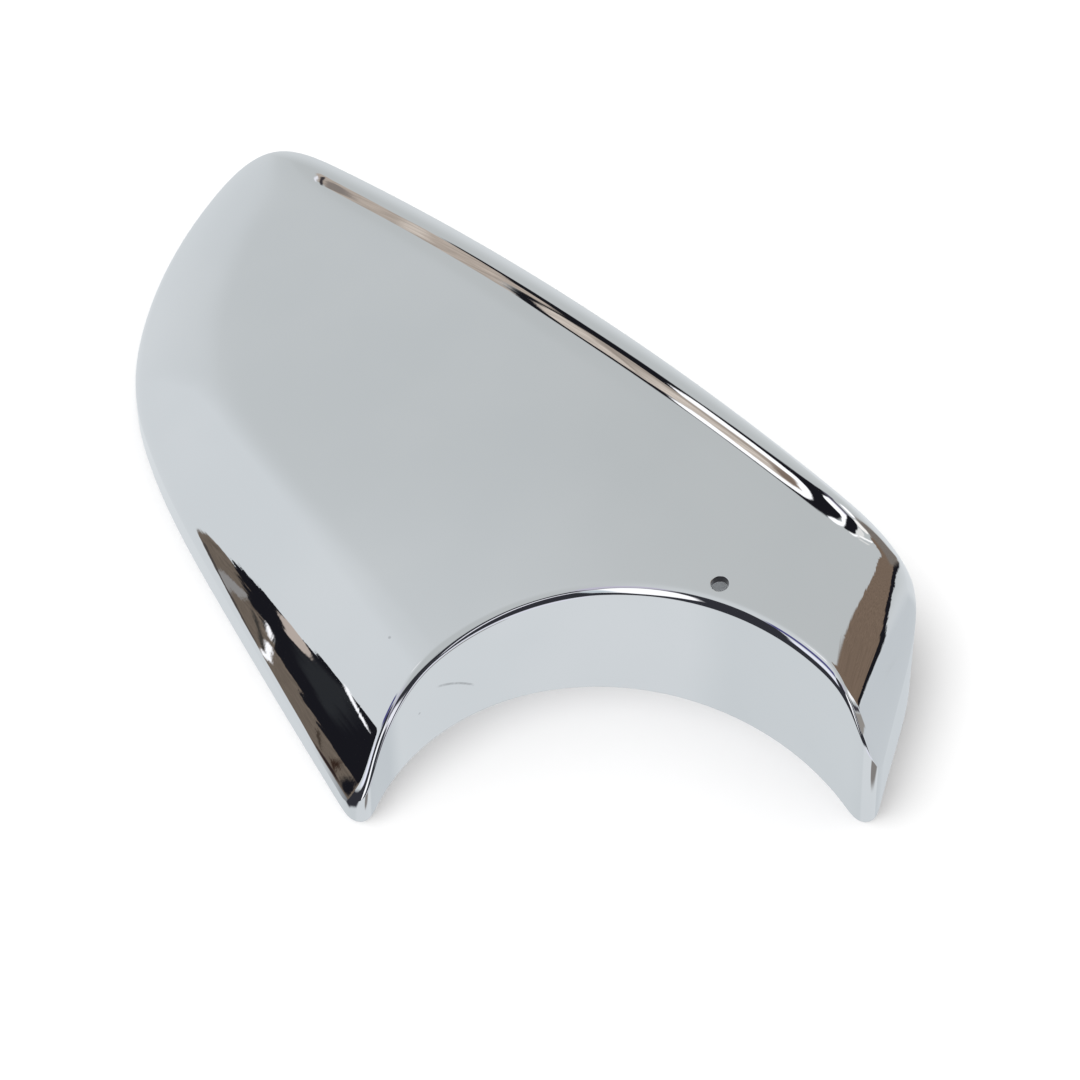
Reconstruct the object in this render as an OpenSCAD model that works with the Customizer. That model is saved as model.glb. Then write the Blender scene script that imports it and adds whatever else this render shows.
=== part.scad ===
// Wing mirror cover: one moulded and chromed shell, open underneath, with an oval cut-out
// along its lower side where the mirror's arm passes. It lies on its rim, face up.
// Millimetres, +Z up. The origin is the middle of its footprint, on the plane of the rim.

/* [Outline corners] */
// Lower side's end by the left tip: X
left_tip_x = -44; // [-50:0.1:-40]
// Lower side's end by the left tip: Y
left_tip_y = -122.4; // [-128:0.1:-119]
// Outer corner, at the far left: X
outer_corner_x = -111.8; // [-120:0.1:-105]
// Outer corner: Y
outer_corner_y = 10.3; // [0:0.1:22]
// Upper corner, at the far end: X
upper_corner_x = -74.8; // [-82:0.1:-62]
// Upper corner: Y
upper_corner_y = 125.6; // [115:0.1:138]
// Inner corner, at the right: X
inner_corner_x = 118.1; // [110:0.1:124]
// Inner corner: Y
inner_corner_y = -58.5; // [-70:0.1:-50]
// Right side's end by the right tip: X
right_tip_x = 99.8; // [97:0.1:102]
// Right side's end by the right tip: Y
right_tip_y = -123.3; // [-128:0.1:-119]

/* [Outline sides] */
// Bow of the lower side
lower_bow = 0.8; // [0:0.1:3]
// Bow of the outer side
outer_bow = 14; // [10:0.1:18]
// Bow of the upper side
upper_bow = 5.9; // [3:0.1:10]
// Bow of the right side
right_bow = -0.5; // [-2:0.1:2]
// Reach of the blend round the outer corner
outer_blend = 19.5; // [10:0.1:28]
// Reach of the blend round the upper corner
upper_blend = 28; // [20:0.1:40]
// Reach of the blend round the inner corner
inner_blend = 33.8; // [20:0.1:42]
// Where both tips end: Y
tips_y = -120; // [-121.5:0.1:-118]
// Reach of the blend at the outer corner of each tip
tip_blend = 6.9; // [3:0.1:12]
// Reach of the blend between the cut-out and the end of each tip
end_blend = 7.1; // [3:0.1:12]

/* [Cut-out] */
// Middle of the oval cut-out: X
arch_x = 29.7; // [25:0.1:35]
// Middle of the oval cut-out: Y
arch_y = -145.6; // [-152:0.1:-140]
// Short half width of the oval
arch_short = 69.8; // [64:0.1:74]
// Long half width of the oval
arch_long = 76; // [72:0.1:80]
// Turn of the oval, from its short half width along X
arch_turn = 46; // [30:1:60]
// Radius of the bead where the face rolls into the cut-out's wall
bead_r = 2.8; // [1:0.1:5]

/* [Face] */
// Height of the face at the head of the cut-out
face_h = 46.5; // [42:0.5:60]
// Slope of the face at the head of the cut-out, rising towards +X, in degrees
slope_x = 7.4; // [5:0.1:9]
// Slope of the face at the head of the cut-out, rising towards +Y, in degrees
slope_y = 2.3; // [0:0.1:5]
// Radius of the crowned face along X
crown_x = 1000; // [750:10:1600]
// Radius of the crowned face along Y
crown_y = 1650; // [1000:10:5000]

/* [Edge rounding] */
// Width of the rounding at the left tip
left_tip_round = 42; // [30:0.5:48]
// Width of the rounding along the lower side, at the outer corner
lower_round = 26; // [18:0.5:34]
// Width of the rounding along the outer side
outer_round = 30; // [20:0.5:38]
// Width of the rounding along the upper side
upper_round = 26; // [18:0.5:34]
// Width of the rounding along the right side, at the inner corner
right_round = 27; // [18:0.5:34]
// Width of the rounding at the right tip
right_tip_round = 17; // [12:0.5:26]
// Drop of the rounding at the left tip
left_tip_drop = 24; // [18:0.5:27]
// Drop of the rounding along the lower side, at the outer corner
lower_drop = 9; // [5:0.5:14]
// Drop of the rounding at the outer side, by the outer corner
outer_drop = 10; // [5:0.5:14]
// Drop of the rounding round the upper corner
upper_corner_drop = 12.2; // [8:0.1:20]
// Drop of the rounding at the upper side, by the inner corner
upper_drop = 21; // [14:0.5:26]
// Drop of the rounding along the right side, at the inner corner
right_drop = 18; // [12:0.5:26]
// Drop of the rounding at the right tip
right_tip_drop = 28; // [20:0.5:34]
// How late the rounding sets in: 2 is a plain curve, more leaves the face smoother
rounding_power = 2.5; // [2:0.1:3]
// Radius of the tight edge between the rounding and the upright flange
edge_r = 2.5; // [1:0.1:4]

/* [Wall and screw hole] */
// Thickness of the moulded wall
wall = 2.5; // [1.8:0.1:3.5]
// Diameter of the screw hole
hole_d = 5; // [3:0.1:7]
// Where along the cut-out the screw hole sits, as an angle at the cut-out's middle
hole_angle = 69.4; // [55:0.1:120]
// Distance of the screw hole's middle from the edge of the cut-out
hole_inset = 6.8; // [5.5:0.1:20]

/* [Hidden] */

chrome = [0.80, 0.81, 0.83];

// The four sides run clockwise from the left tip to the right tip
corners = [
    [left_tip_x, left_tip_y],
    [outer_corner_x, outer_corner_y],
    [upper_corner_x, upper_corner_y],
    [inner_corner_x, inner_corner_y],
    [right_tip_x, right_tip_y]
];
bows = [lower_bow, outer_bow, upper_bow, right_bow];
arch = [arch_x, arch_y];
head = [arch_x, arch_y + (arch_short + arch_long) / 2];

// Distance over which a side's rounding fades into its neighbour's
fade = 4;
// Smallest inside radius that the wall leaves at the bead and the tight edge
least_r = 0.4;
// Furthest that a ray from the middle of the cut-out can run
reach = 300;
// Breadth from the cut-out within which each ray lies deepest in the footprint
strip = 60;
// Angle past the end of a side at which the search for its tip begins
past_tip = 30;
// Step inside the outer edge at which the edge's slant to a ray is read
probe = 1;
// Least slant that is allowed for
least_slant = 0.2;
// Halvings in each search for a crossing
halvings = 30;

// Rows of facets across the skin: bead, face, rounding with its tight edge
bead_rows = 4;
face_rows = 6;
edge_rows = 12;
// Largest share of a ray that the rows of the bead take up
bead_share = 0.3;
// Angle on both sides of a corner over which the rays lie close
close = 9;
// Points in the upright edge of a tip
tip_size = 2;

// Smaller of two values, blended where they differ by less than k
function blend_min(a, b, k) =
    let (h = max(k - abs(a - b), 0) / k)
    min(a, b) - h * h * h * k / 6;

function limit(v, low, high) = min(max(v, low), high);
function mix(a, b, t) = a + (b - a) * t;

// Distance inside one bowed side, from a to b. Past its ends the side runs on straight
function side_gap(p, a, b, bow) =
    let (half = norm(b - a) / 2)
    let (along = (b - a) / (2 * half))
    let (v = p - (a + b) / 2)
    let (s = v * along / half)
    let (c = limit(s, -1, 1))
    let (lift = bow * (1 - c * c) - 2 * bow * c * (s - c))
    (v.x * along.y - v.y * along.x + lift) / sqrt(1 + pow(2 * bow * c / half, 2));

function side_gaps(p) = [for (i = [0:3]) side_gap(p, corners[i], corners[i + 1], bows[i])];

// Distance inside all four sides, with the corners blended
function outline_gap(g) =
    blend_min(blend_min(blend_min(g[0], g[1], outer_blend), g[2], upper_blend), g[3], inner_blend);

function arch_radius(angle) =
    let (a = angle - arch_turn)
    arch_short * arch_long / sqrt(pow(arch_long * cos(a), 2) + pow(arch_short * sin(a), 2));

// Distance outside the cut-out and the straight ends of the tips
function cut_gap(p) =
    let (v = p - arch)
    blend_min(norm(v) - arch_radius(atan2(v.y, v.x)), p.y - tips_y, end_blend);

// Positive within the footprint, less a wall of thickness t
function footprint(p, t) = blend_min(cut_gap(p) - t, outline_gap(side_gaps(p)) - t, tip_blend);

function face_z(p) =
    let (v = p - head)
    face_h + tan(slope_x) * v.x + tan(slope_y) * v.y
        - v.x * v.x / (2 * crown_x) - v.y * v.y / (2 * crown_y);

// Drop of a quarter round, from 1 at its foot to 0 at its crest
function quarter(u) =
    let (c = 1 - limit(u, 0, 1))
    1 - sqrt(max(1 - c * c, 0));

// Each side's share in the rounding at a point, by nearness
function shares(g) =
    let (w = [for (d = g) 1 / pow(max(d, 0) + fade, 3)])
    w / (w * [1, 1, 1, 1]);

// How far a point lies along the way from corner a to corner b
function along(p, a, b) =
    let (way = corners[b] - corners[a])
    limit((p - corners[a]) * way / (way * way), 0, 1);

function rounding_width(p, g) =
    shares(g) * [
        mix(left_tip_round, lower_round, along(p, 0, 1)),
        outer_round,
        upper_round,
        mix(right_tip_round, right_round, along(p, 4, 3))
    ];

function rounding_drop(p, g) =
    shares(g) * [
        mix(left_tip_drop, lower_drop, along(p, 0, 1)),
        mix(outer_drop, upper_corner_drop, along(p, 1, 2)),
        mix(upper_corner_drop, upper_drop, along(p, 2, 3)),
        mix(right_tip_drop, right_drop, along(p, 4, 3))
    ];

// Height of the skin that lies t inside the outer one
function skin_z(p, t) =
    let (g = side_gaps(p))
    let (d = outline_gap(g) - t)
    let (fall = limit(1 - d / (rounding_width(p, g) - t), 0, 1))
    let (tight = max(edge_r - t, least_r))
    let (bead = max(bead_r - t, least_r))
    face_z(p) - t
        - rounding_drop(p, g) * pow(fall, rounding_power)
        - tight * quarter(d / tight)
        - bead * quarter((cut_gap(p) - t) / bead);

// A point on a ray from the middle of the cut-out
function on_ray(angle, r) = arch + r * [cos(angle), sin(angle)];

// Halves [inside, outside] on a ray until both meet on the footprint's edge
function crossing(angle, inside, outside, t, n = halvings) =
    n == 0 ? (inside + outside) / 2 :
    let (m = (inside + outside) / 2)
    footprint(on_ray(angle, m), t) > 0
        ? crossing(angle, m, outside, t, n - 1)
        : crossing(angle, inside, m, t, n - 1);

// Radius within [low, high] at which a ray lies deepest in the footprint
function deepest(angle, low, high, t, n = halvings) =
    n == 0 ? (low + high) / 2 :
    let (a = mix(low, high, 1 / 3))
    let (b = mix(low, high, 2 / 3))
    footprint(on_ray(angle, a), t) < footprint(on_ray(angle, b), t)
        ? deepest(angle, a, high, t, n - 1)
        : deepest(angle, low, b, t, n - 1);

function middle(angle, t) = deepest(angle, arch_radius(angle), arch_radius(angle) + strip, t);

// Angle at which the footprint closes at a tip, between an angle inside and one outside
function tip_angle(inside, outside, t, n = halvings) =
    n == 0 ? inside :
    let (m = (inside + outside) / 2)
    footprint(on_ray(m, middle(m, t)), t) > 0
        ? tip_angle(m, outside, t, n - 1)
        : tip_angle(inside, m, t, n - 1);

function angle_of(p) = atan2(p.y - arch.y, p.x - arch.x);

// Angles of the rays from the right tip to the left one: [end of the band, rays in it],
// with close rays at the tips and round the corners
function bands(last) = [
    [angle_of(corners[3]) - close, 12],
    [angle_of(corners[3]) + close, 12],
    [angle_of(corners[2]) - close, 13],
    [angle_of(corners[2]) + close, 18],
    [angle_of(corners[1]) + close, 14],
    [last, 16]
];

// Steps that crowd at a tip: at the start of the first band and at the end of the last
function crowd(i, end, t) = i == 0 ? t * t : i == end ? 1 - (1 - t) * (1 - t) : t;

function rays(first, last) =
    let (b = bands(last))
    let (end = len(b) - 1)
    [
        for (i = [0:end])
            let (start = i == 0 ? first : b[i - 1][0])
            for (j = [1:b[i][1]])
                if (i < end || j < b[i][1])
                    mix(start, b[i][0], crowd(i, end, j / b[i][1]))
    ];

// Distances along a ray for each row of facets, from the cut-out to the outer edge
function row_radii(angle, near, far) =
    let (length = far - near)
    let (slant = outline_gap(side_gaps(on_ray(angle, far - probe))) / probe)
    let (p = on_ray(angle, far))
    let (bead = min(bead_r, bead_share * length))
    let (width = rounding_width(p, side_gaps(p)) / max(slant, least_slant))
    let (edge = min(width, length - bead))
    [
        for (i = [0:bead_rows]) near + bead * (1 - cos(90 * i / bead_rows)),
        for (i = [1:face_rows - 1]) mix(near + bead, far - edge, i / face_rows),
        for (i = [edge_rows:-1:0]) far - edge * (1 - cos(90 * i / edge_rows))
    ];

// One column of points over a ray: foot of the cut-out's wall, skin, foot of the flange
function column(angle, t) =
    let (m = middle(angle, t))
    let (near = crossing(angle, m, arch_radius(angle) - probe, t))
    let (far = crossing(angle, m, reach, t))
    let (skin = [
        for (r = row_radii(angle, near, far))
            let (p = on_ray(angle, r))
            [p.x, p.y, skin_z(p, t)]
    ])
    let (a = skin[0])
    let (b = skin[len(skin) - 1])
    concat([[a.x, a.y, 0]], skin, [[b.x, b.y, 0]]);

// Top and foot of the upright edge in which the footprint closes at a tip
function tip_points(angle, t) =
    let (p = on_ray(angle, middle(angle, t)))
    [[p.x, p.y, 0], [p.x, p.y, skin_z(p, t)]];

// All points of one skin: right tip, columns, left tip
function skin_points(t) =
    let (mid = angle_of(head))
    let (first = tip_angle(mid, angle_of(corners[4]) - past_tip, t))
    let (last = tip_angle(mid, angle_of(corners[0]) + past_tip, t))
    concat(
        tip_points(first, t),
        [for (a = rays(first, last)) each column(a, t)],
        tip_points(last, t)
    );

rows = bead_rows + face_rows + edge_rows + 3;
columns = len(rays(0, 180));
skin_size = 2 * tip_size + rows * columns;

// Index of row r in column c of the skin that starts at index s
function at(s, c, r) = s + tip_size + c * rows + r;

function turned(face, over) = over ? [face[2], face[1], face[0]] : face;

// Facets of one skin, turned over for the inner one
function skin_facets(s, over) =
    let (far_tip = s + skin_size - tip_size)
    let (top = rows - 1)
    let (end = columns - 1)
    [
        for (f = [
            for (c = [0:end - 1], r = [0:top - 1]) each [
                [at(s, c, r), at(s, c + 1, r), at(s, c + 1, r + 1)],
                [at(s, c, r), at(s, c + 1, r + 1), at(s, c, r + 1)]
            ],
            [s, at(s, 0, 0), at(s, 0, 1)],
            [s, at(s, 0, 1), s + 1],
            for (r = [1:top - 2]) [s + 1, at(s, 0, r), at(s, 0, r + 1)],
            [s + 1, at(s, 0, top - 1), at(s, 0, top)],
            [s + 1, at(s, 0, top), s],
            [at(s, end, 0), far_tip, far_tip + 1],
            [at(s, end, 0), far_tip + 1, at(s, end, 1)],
            for (r = [1:top - 2]) [at(s, end, r), far_tip + 1, at(s, end, r + 1)],
            [at(s, end, top - 1), far_tip + 1, far_tip],
            [at(s, end, top - 1), far_tip, at(s, end, top)]
        ]) turned(f, over)
    ];

// Indices round the foot of one skin: along the cut-out and back along the flange
function foot(s) = [
    s,
    for (c = [0:columns - 1]) at(s, c, 0),
    s + skin_size - tip_size,
    for (c = [columns - 1:-1:0]) at(s, c, rows - 1)
];

// Flat rim between the feet of the outer and the inner skin
function rim_facets() =
    let (outer = foot(0))
    let (inner = foot(skin_size))
    let (n = len(outer))
    [
        for (i = [0:n - 1])
            let (j = (i + 1) % n)
            each [
                [outer[i], inner[i], inner[j]],
                [outer[i], inner[j], outer[j]]
            ]
    ];

module shell() {
    polyhedron(
        points = concat(skin_points(0), skin_points(wall)),
        faces = concat(skin_facets(0, false), skin_facets(skin_size, true), rim_facets()),
        convexity = 6
    );
}

module screw_hole() {
    middle = on_ray(hole_angle, arch_radius(hole_angle) + hole_inset);
    translate([middle.x, middle.y, skin_z(middle, 0) - 3 * wall])
        cylinder(d = hole_d, h = 6 * wall, $fn = 48);
}

module mirror_cover() {
    color(chrome)
        difference() {
            shell();
            screw_hole();
        }
}

mirror_cover();
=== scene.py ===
import math
import bpy
import numpy as np
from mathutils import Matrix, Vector


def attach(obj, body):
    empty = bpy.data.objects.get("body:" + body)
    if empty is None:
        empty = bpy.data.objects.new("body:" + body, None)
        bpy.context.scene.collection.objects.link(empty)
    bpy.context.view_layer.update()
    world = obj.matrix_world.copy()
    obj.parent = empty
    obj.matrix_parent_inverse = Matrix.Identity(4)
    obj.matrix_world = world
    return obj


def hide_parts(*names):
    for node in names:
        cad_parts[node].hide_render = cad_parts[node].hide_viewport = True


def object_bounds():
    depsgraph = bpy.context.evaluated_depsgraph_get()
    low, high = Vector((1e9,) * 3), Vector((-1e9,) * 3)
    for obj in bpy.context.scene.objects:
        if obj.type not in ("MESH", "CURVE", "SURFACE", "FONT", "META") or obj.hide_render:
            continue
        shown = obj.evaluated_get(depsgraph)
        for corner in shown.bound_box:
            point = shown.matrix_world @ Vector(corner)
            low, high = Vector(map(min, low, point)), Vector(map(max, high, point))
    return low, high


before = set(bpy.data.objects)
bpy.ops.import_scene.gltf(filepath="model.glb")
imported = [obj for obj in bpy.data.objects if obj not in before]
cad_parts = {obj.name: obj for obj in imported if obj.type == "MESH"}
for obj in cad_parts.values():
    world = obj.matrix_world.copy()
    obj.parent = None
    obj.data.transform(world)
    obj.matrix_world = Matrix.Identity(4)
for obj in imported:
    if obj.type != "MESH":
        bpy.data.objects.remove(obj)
cad_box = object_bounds()

# ---------------------------------------------------------------- the shell's form, in mm
# The same sizes and the same functions as in part.scad.
CORNERS = np.array([(-44.0, -122.4), (-111.8, 10.3), (-74.8, 125.6),
                    (118.1, -58.5), (99.8, -123.3)])
BOWS = (0.8, 14.0, 5.9, -0.5)
BLENDS = (19.5, 28.0, 33.8)
TIPS_Y, TIP_BLEND, END_BLEND = -120.0, 6.9, 7.1
ARCH = np.array((29.7, -145.6))
ARCH_SHORT, ARCH_LONG, ARCH_TURN = 69.8, 76.0, math.radians(46.0)
BEAD_R, EDGE_R, WALL = 2.8, 2.5, 2.5
HEAD = ARCH + np.array((0.0, (ARCH_SHORT + ARCH_LONG) / 2))
FACE_H, SLOPE_X, SLOPE_Y = 46.5, math.radians(7.4), math.radians(2.3)
CROWN_X, CROWN_Y = 1000.0, 1650.0
# how far in from each side the face starts to round down, and by how much it drops there
ROUND_LEFT_TIP, ROUND_LOWER, ROUND_OUTER = 42, 26, 30
ROUND_UPPER, ROUND_RIGHT, ROUND_RIGHT_TIP = 26, 27, 17
DROP_LEFT_TIP, DROP_LOWER, DROP_OUTER, DROP_UPPER_CORNER = 24, 9, 10, 12.2
DROP_UPPER, DROP_RIGHT, DROP_RIGHT_TIP = 21, 18, 28
POWER = 2.5
SIDE_REACH = 4                  # the larger, the further the sides' roundings mix
LEAST_R = 0.4                   # of an edge of the inner skin
HOLE, HOLE_R, LIP_R = np.array((56.96, -73.08)), 2.5, 0.2


def blend_min(a, b, k):
    h = np.maximum(k - np.abs(a - b), 0) / k
    return np.minimum(a, b) - h ** 3 * k / 6


def side_gap(x, y, i):
    """How far inside the bowed side from corner i to the next."""
    a, b, bow = CORNERS[i], CORNERS[i + 1], BOWS[i]
    half = np.hypot(*(b - a)) / 2
    tx, ty = (b - a) / (2 * half)
    mx, my = (a + b) / 2
    s = ((x - mx) * tx + (y - my) * ty) / half
    c = np.clip(s, -1, 1)
    lift = bow * (1 - c * c) - 2 * bow * c * (s - c)
    level = np.sqrt(1 + (2 * bow * c / half) ** 2)
    return ((x - mx) * ty - (y - my) * tx + lift) / level


def side_gaps(x, y):
    return [side_gap(x, y, i) for i in range(4)]


def outline_gap(g):
    """How far inside the outer sides, with their corners blended."""
    lower_outer = blend_min(g[0], g[1], BLENDS[0])
    return blend_min(blend_min(lower_outer, g[2], BLENDS[1]), g[3], BLENDS[2])


def arch_radius(angle):
    a = angle - ARCH_TURN
    square = (ARCH_LONG * np.cos(a)) ** 2 + (ARCH_SHORT * np.sin(a)) ** 2
    return ARCH_SHORT * ARCH_LONG / np.sqrt(square)


def cut_gap(x, y):
    """How far outside the oval cut-out and above the line that blunts the tips."""
    dx, dy = x - ARCH[0], y - ARCH[1]
    return blend_min(np.hypot(dx, dy) - arch_radius(np.arctan2(dy, dx)), y - TIPS_Y, END_BLEND)


def footprint(x, y, t):
    """Above 0 inside the footprint of the skin that lies t in from the outside."""
    return blend_min(cut_gap(x, y) - t, outline_gap(side_gaps(x, y)) - t, TIP_BLEND)


def quarter(u):
    """The fall of a quarter round, from 1 at its foot to 0 at its end."""
    c = 1 - np.clip(u, 0, 1)
    return 1 - np.sqrt(np.maximum(1 - c * c, 0))


def mix(a, b, t):
    return a + (b - a) * t


def along(x, y, a, b):
    """0 to 1 on the way from corner a to corner b."""
    way = CORNERS[b] - CORNERS[a]
    gone = (x - CORNERS[a][0]) * way[0] + (y - CORNERS[a][1]) * way[1]
    return np.clip(gone / (way @ way), 0, 1)


def rounding(x, y, g):
    """Width and drop of the broad rounding, mixed from those of the near sides."""
    w = [1 / (np.maximum(d, 0) + SIDE_REACH) ** 3 for d in g]
    total = sum(w)
    lower, outer, upper = along(x, y, 0, 1), along(x, y, 1, 2), along(x, y, 2, 3)
    right = along(x, y, 4, 3)
    widths = (mix(ROUND_LEFT_TIP, ROUND_LOWER, lower),
              ROUND_OUTER,
              ROUND_UPPER,
              mix(ROUND_RIGHT_TIP, ROUND_RIGHT, right))
    drops = (mix(DROP_LEFT_TIP, DROP_LOWER, lower),
             mix(DROP_OUTER, DROP_UPPER_CORNER, outer),
             mix(DROP_UPPER_CORNER, DROP_UPPER, upper),
             mix(DROP_RIGHT_TIP, DROP_RIGHT, right))
    width = sum(a * b for a, b in zip(w, widths)) / total
    drop = sum(a * b for a, b in zip(w, drops)) / total
    return width, drop


def skin_z(x, y, t):
    """Height of the skin that lies t in from the outside."""
    g = side_gaps(x, y)
    d = outline_gap(g) - t
    width, drop = rounding(x, y, g)
    fall = np.clip(1 - d / (width - t), 0, 1)
    tight, bead = max(EDGE_R - t, LEAST_R), max(BEAD_R - t, LEAST_R)
    vx, vy = x - HEAD[0], y - HEAD[1]
    plane = FACE_H + math.tan(SLOPE_X) * vx + math.tan(SLOPE_Y) * vy
    face = plane - vx * vx / (2 * CROWN_X) - vy * vy / (2 * CROWN_Y)
    edge = tight * quarter(d / tight)
    return face - t - drop * fall ** POWER - edge - bead * quarter((cut_gap(x, y) - t) / bead)


# ---------------------------------------------------------------- rays from the oval's middle
# Every ray crosses the footprint once, from the cut-out to the outer side.
PAST_CUT, PAST_ALL = 60, 300.0
THIRDS, HALVINGS = 60, 46


def on_ray(angle, r):
    return ARCH[0] + r * np.cos(angle), ARCH[1] + r * np.sin(angle)


def deepest(angle, t):
    """The radius on each ray that lies deepest inside the footprint."""
    low = arch_radius(angle)
    high = low + PAST_CUT
    for _ in range(THIRDS):
        a, b = mix(low, high, 1 / 3), mix(low, high, 2 / 3)
        up = footprint(*on_ray(angle, a), t) < footprint(*on_ray(angle, b), t)
        low, high = np.where(up, a, low), np.where(up, high, b)
    return (low + high) / 2


def crossing(angle, inside, outside, t):
    """The radius on each ray where it leaves the footprint."""
    for _ in range(HALVINGS):
        m = (inside + outside) / 2
        hit = footprint(*on_ray(angle, m), t) > 0
        inside, outside = np.where(hit, m, inside), np.where(hit, outside, m)
    return (inside + outside) / 2


def tip_angle(inside, outside, t):
    """The angle of the last ray that still meets the footprint."""
    for _ in range(HALVINGS):
        m = (inside + outside) / 2
        angle = np.array([m])
        if footprint(*on_ray(angle, deepest(angle, t)), t)[0] > 0:
            inside = m
        else:
            outside = m
    return inside


# ---------------------------------------------------------------- the shell's mesh
BEAD_ROWS, NEAR_ROWS, FACE_ROWS, EDGE_ROWS = 12, 12, 20, 56
STATIONS = 400
CROWD = 0.06                    # share of the stations that crowd towards each tip
NEAR_STRIP = 8.5                # band of closer rows beside the bead, where the hole is
BEAD_SHARE, STRIP_SHARE = 0.3, 0.25   # at most, of what is left of a short ray
LEAST_SLOPE = 0.2
TIP_SEARCH = 0.5
HOLE_BLOCK_C, HOLE_BLOCK_R = 10, 5    # half of the block of facets that the hole takes
HOLE_RINGS, LIP_ROWS = 5, 6
SHARP_ANGLE = math.radians(48)


def stations(t):
    """The angles of the rays, and of the tips that end them."""
    mid = math.pi / 2
    right, left = [math.atan2(*(CORNERS[i] - ARCH)[::-1]) for i in (4, 0)]
    first = tip_angle(mid, right - TIP_SEARCH, t)
    last = tip_angle(mid, left + TIP_SEARCH, t)
    u = np.linspace(0, 1, STATIONS + 2)[1:-1]
    u = np.where(u < CROWD, u * u / CROWD / 2 + u / 2, u)
    v = 1 - u
    v = np.where(v < CROWD, v * v / CROWD / 2 + v / 2, v)
    return first, mix(first, last, 1 - v), last


def skin(t):
    """Points of one skin as stations by rows, from foot to foot, and its two tips."""
    first, angle, last = stations(t)
    m = deepest(angle, t)
    near = crossing(angle, m, arch_radius(angle) - 1, t)
    far = crossing(angle, m, np.full_like(angle, PAST_ALL), t)
    length = far - near
    # the broad rounding is wider along a ray that meets its side at a slant
    slope = outline_gap(side_gaps(*on_ray(angle, far - 1)))
    end = on_ray(angle, far)
    width = rounding(*end, side_gaps(*end))[0] / np.maximum(slope, LEAST_SLOPE)
    bead = np.minimum(BEAD_R, BEAD_SHARE * length)
    strip = np.minimum(NEAR_STRIP, STRIP_SHARE * (length - bead))
    edge = np.minimum(width, length - bead - strip)
    rows = []
    for i in range(BEAD_ROWS + 1):
        rows.append(near + bead * (1 - math.cos(math.pi / 2 * i / BEAD_ROWS)))
    for i in range(1, NEAR_ROWS + 1):
        rows.append(near + bead + strip * i / NEAR_ROWS)
    for i in range(1, FACE_ROWS):
        rows.append(mix(near + bead + strip, far - edge, i / FACE_ROWS))
    # the rows lie closer together towards the tight edge
    for i in range(EDGE_ROWS, -1, -1):
        rows.append(far - edge * (1 - math.cos(math.pi / 2 * i / EDGE_ROWS)))
    r = np.array(rows).T
    x, y = on_ray(angle[:, None], r)
    z = skin_z(x, y, t)
    pts = np.stack([x, y, z], -1)
    foot_a, foot_b = pts[:, :1].copy(), pts[:, -1:].copy()
    foot_a[..., 2] = 0
    foot_b[..., 2] = 0
    pts = np.concatenate([foot_a, pts, foot_b], 1)
    tips = []
    for a in (first, last):
        angle1 = np.array([a])
        tx, ty = on_ray(angle1, deepest(angle1, t))
        tips.append([(tx[0], ty[0], 0.0), (tx[0], ty[0], float(skin_z(tx, ty, t)[0]))])
    return pts, tips


verts, faces = [], []


def add(points):
    start = len(verts)
    verts.extend([tuple(map(float, p)) for p in points])
    return start


def quad(over, *idx):
    faces.append(tuple(reversed(idx)) if over else tuple(idx))


def build_skin(pts, tips, over, block):
    """Facets of one skin without a block of them, its loop of feet and the block's loop."""
    n, rows = pts.shape[:2]
    base = add(pts.reshape(-1, 3))
    tip = [[add([p]) for p in pair] for pair in tips]
    at = lambda c, r: base + c * rows + r
    c0, c1, r0, r1 = block
    for c in range(n - 1):
        for r in range(rows - 1):
            if c0 <= c < c1 and r0 <= r < r1:
                continue
            quad(over, at(c, r), at(c + 1, r), at(c + 1, r + 1), at(c, r + 1))
    top = rows - 1
    s, e = tip
    quad(over, s[0], at(0, 0), at(0, 1), s[1])
    for r in range(1, top - 1):
        quad(over, s[1], at(0, r), at(0, r + 1))
    quad(over, s[1], at(0, top - 1), at(0, top), s[0])
    quad(over, at(n - 1, 0), e[0], e[1], at(n - 1, 1))
    for r in range(1, top - 1):
        quad(over, at(n - 1, r), e[1], at(n - 1, r + 1))
    quad(over, at(n - 1, top - 1), e[1], e[0], at(n - 1, top))
    feet = [s[0]] + [at(c, 0) for c in range(n)]
    feet += [e[0]] + [at(c, top) for c in range(n - 1, -1, -1)]
    loop = [at(c, r0) for c in range(c0, c1)] + [at(c1, r) for r in range(r0, r1)]
    loop += [at(c, r1) for c in range(c1, c0, -1)] + [at(c0, r) for r in range(r1, r0, -1)]
    return feet, loop


def nearest_to_hole(pts):
    d = np.hypot(pts[..., 0] - HOLE[0], pts[..., 1] - HOLE[1])
    d[:, :2] = 1e9
    d[:, -2:] = 1e9
    return np.unravel_index(d.argmin(), d.shape)


def ring(points_xy, t):
    x, y = points_xy
    return np.stack([x, y, skin_z(x, y, t)], -1)


loops, feet = [], []
for t, over in ((0.0, False), (WALL, True)):
    pts, tips = skin(t)
    c, r = nearest_to_hole(pts)
    block = (c - HOLE_BLOCK_C, c + HOLE_BLOCK_C, r - HOLE_BLOCK_R, r + HOLE_BLOCK_R)
    skin_feet, loop = build_skin(pts, tips, over, block)
    feet.append(skin_feet)
    loops.append(loop)

n = len(feet[0])
for i in range(n):
    j = (i + 1) % n
    faces.append((feet[0][i], feet[1][i], feet[1][j], feet[0][j]))


def ring_faces(a, b, over):
    m = len(a)
    for i in range(m):
        j = (i + 1) % m
        quad(over, a[i], a[j], b[j], b[i])


def angles_of(loop):
    p = np.array([verts[i] for i in loop])
    return np.unwrap(np.arctan2(p[:, 1] - HOLE[1], p[:, 0] - HOLE[0])), p


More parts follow.
